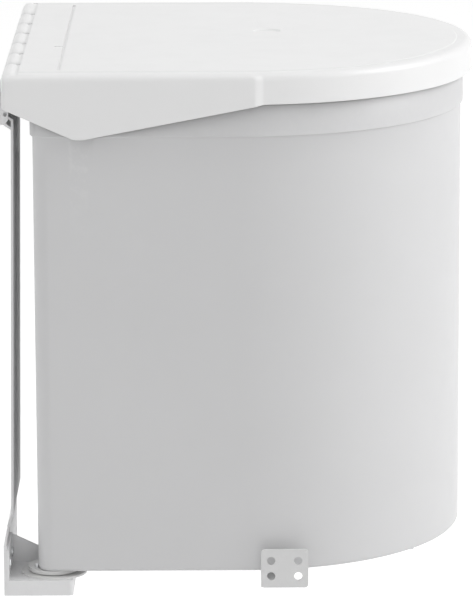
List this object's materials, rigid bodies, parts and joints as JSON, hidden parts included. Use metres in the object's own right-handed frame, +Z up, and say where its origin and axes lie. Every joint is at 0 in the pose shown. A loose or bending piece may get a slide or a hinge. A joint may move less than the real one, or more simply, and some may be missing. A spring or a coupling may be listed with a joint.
{
  "type": "swing-out waste bin",
  "caption": "D-shaped waste bin on a corner swivel for a kitchen base unit, with an inner bucket, a wall-hinged lid that lifts as the bin swings out, and a sliding door plate.",
  "frame": {"origin": "centre of the four wall screws, on the cabinet's side wall", "axes": "+X away from the side wall, -Y towards the cabinet door, +Z up"},
  "size_m": [0.2816, 0.2772, 0.3145],
  "materials": {
    "lid_plastic": "white moulded plastic, fine satin",
    "bin_plastic": "white moulded plastic, satin",
    "bucket_plastic": "off-white moulded plastic",
    "hinge_plastic": "white moulded plastic",
    "gliding_plastic": "natural white low-friction plastic",
    "white_coated_steel": "white powder coat on folded sheet",
    "bare_steel": "zinc-plated steel"
  },
  "bodies": {
    "wall_side": {"wall_frame": "white_coated_steel", "hinge_bracket": "white_coated_steel", "hinge_strip": "hinge_plastic", "hinge_rod": "bare_steel", "hinge_rivets": "bare_steel", "frame_rivets": "bare_steel", "tray": "white_coated_steel", "tray_rivets": "bare_steel", "upper_arm": "white_coated_steel", "arm_rivets": "bare_steel", "upper_pivot_pin": "bare_steel", "lower_pivot_pin": "bare_steel", "retaining_clip": "bare_steel", "glide_washer": "gliding_plastic"},
    "bin": {"bin_housing": "bin_plastic", "inner_bucket": "bucket_plastic", "swivel_disc": "gliding_plastic", "disc_screws": "bare_steel", "upper_bush": "gliding_plastic", "lower_bush": "gliding_plastic", "lift_cam": "gliding_plastic", "cam_screws": "bare_steel", "guide_rail": "bare_steel", "rail_screws": "bare_steel"},
    "lid": {"lid_shell": "lid_plastic", "cam_follower": "gliding_plastic", "follower_screws": "bare_steel"},
    "slider": {"slider_block": "gliding_plastic"},
    "door_side": {"door_plate": "white_coated_steel", "slider_rivet": "bare_steel"}
  },
  "joints": [
    {"name": "bin_swing", "type": "hinge", "parent": "wall_side", "child": "bin", "pos_m": [0.029, -0.063, -0.133], "axis": [0, 0, -1], "range_deg": [0, 90]},
    {"name": "lid_tilt", "type": "hinge", "parent": "wall_side", "child": "lid", "pos_m": [0.0075, 0.05, 0.1632], "axis": [0, -1, 0], "range_deg": [0, 20.5]},
    {"name": "plate_slide", "type": "slide", "parent": "bin", "child": "slider", "axis": [1, 0, 0], "range_m": [0, 0.0765]},
    {"name": "plate_swivel", "type": "hinge", "parent": "slider", "child": "door_side", "pos_m": [0.1594, -0.006, -0.1393], "axis": [0, 0, 1], "range_deg": [-6, 6]}
  ],
  "couplings": [
    {"joint": "lid_tilt", "follows": "bin_swing", "ratio": 0.22222},
    {"joint": "plate_slide", "follows": "bin_swing", "m_per_rad": 0.048383}
  ]
}
